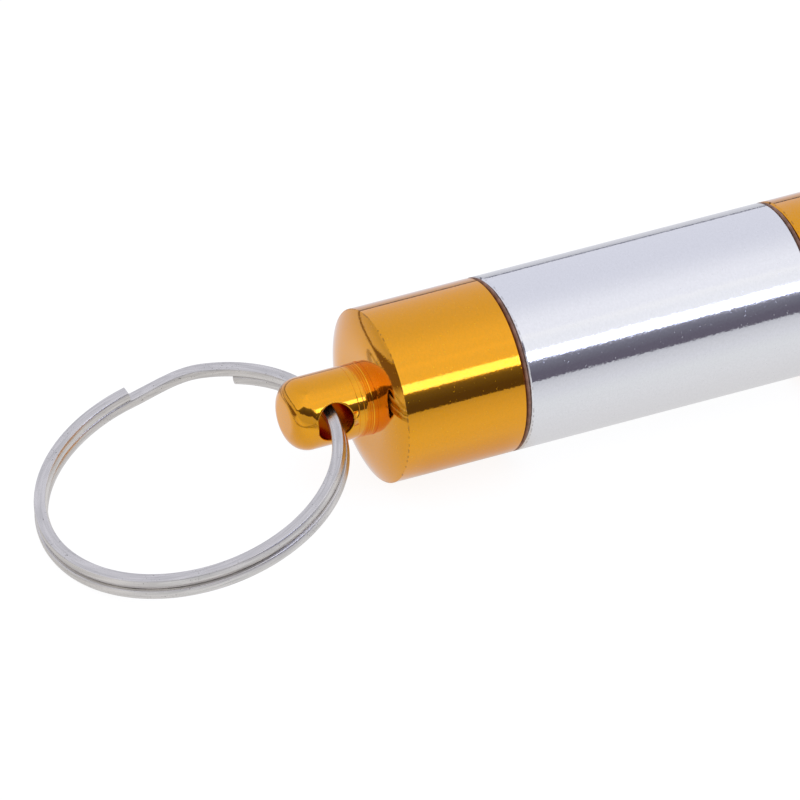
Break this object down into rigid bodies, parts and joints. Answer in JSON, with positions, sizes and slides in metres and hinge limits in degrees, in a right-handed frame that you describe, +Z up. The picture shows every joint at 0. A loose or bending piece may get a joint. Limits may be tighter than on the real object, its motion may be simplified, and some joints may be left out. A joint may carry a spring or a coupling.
{
  "type": "pill case",
  "caption": "Pocket pill case of screw-together metal tubes with rubber seals, a screw cap with a cross-drilled eye, and a split ring to hang it by.",
  "frame": {"origin": "on the surface that the case lies on, under the middle of its overall length and width", "axes": "+X along the case towards its flat tail, the eye and the split ring at -X, +Z up"},
  "size_m": [0.1222, 0.0274, 0.015],
  "materials": {
    "gold_aluminium": "gold anodised, turned and polished",
    "silver_aluminium": "turned and polished, with fine scratches",
    "seal_rubber": "dark brown-black rubber",
    "ring_steel": "matt nickel-plated spring steel"
  },
  "bodies": {
    "section_3": {"section_3": "silver_aluminium"},
    "seal_3": {"seal_3": "seal_rubber"},
    "section_2": {"section_2": "gold_aluminium"},
    "seal_2": {"seal_2": "seal_rubber"},
    "section_1": {"section_1": "silver_aluminium"},
    "seal_1": {"seal_1": "seal_rubber"},
    "cap": {"cap": "gold_aluminium"},
    "split_ring": {"split_ring": "ring_steel"}
  },
  "joints": [
    {"name": "section_2_turn", "type": "hinge", "parent": "section_3", "child": "seal_3", "pos_m": [0.03442, 0, 0.0075], "axis": [-1, 0, 0], "range_deg": [0, 1800]},
    {"name": "section_2_travel", "type": "slide", "parent": "seal_3", "child": "section_2", "axis": [-1, 0, 0], "range_m": [0, 0.00625]},
    {"name": "section_1_turn", "type": "hinge", "parent": "section_2", "child": "seal_2", "pos_m": [0.00742, 0, 0.0075], "axis": [-1, 0, 0], "range_deg": [0, 1800]},
    {"name": "section_1_travel", "type": "slide", "parent": "seal_2", "child": "section_1", "axis": [-1, 0, 0], "range_m": [0, 0.00625]},
    {"name": "cap_turn", "type": "hinge", "parent": "section_1", "child": "seal_1", "pos_m": [-0.01958, 0, 0.0075], "axis": [-1, 0, 0], "range_deg": [0, 1800]},
    {"name": "cap_travel", "type": "slide", "parent": "seal_1", "child": "cap", "axis": [-1, 0, 0], "range_m": [0, 0.00625]},
    {"name": "ring_swing", "type": "hinge", "parent": "cap", "child": "split_ring", "pos_m": [-0.03538, 0, 0.0075], "axis": [0, 1, 0], "range_deg": [-142, 171]}
  ],
  "couplings": [
    {"joint": "section_2_travel", "follows": "section_2_turn", "m_per_rad": 0.00019894},
    {"joint": "section_1_travel", "follows": "section_1_turn", "m_per_rad": 0.00019894},
    {"joint": "cap_travel", "follows": "cap_turn", "m_per_rad": 0.00019894}
  ]
}
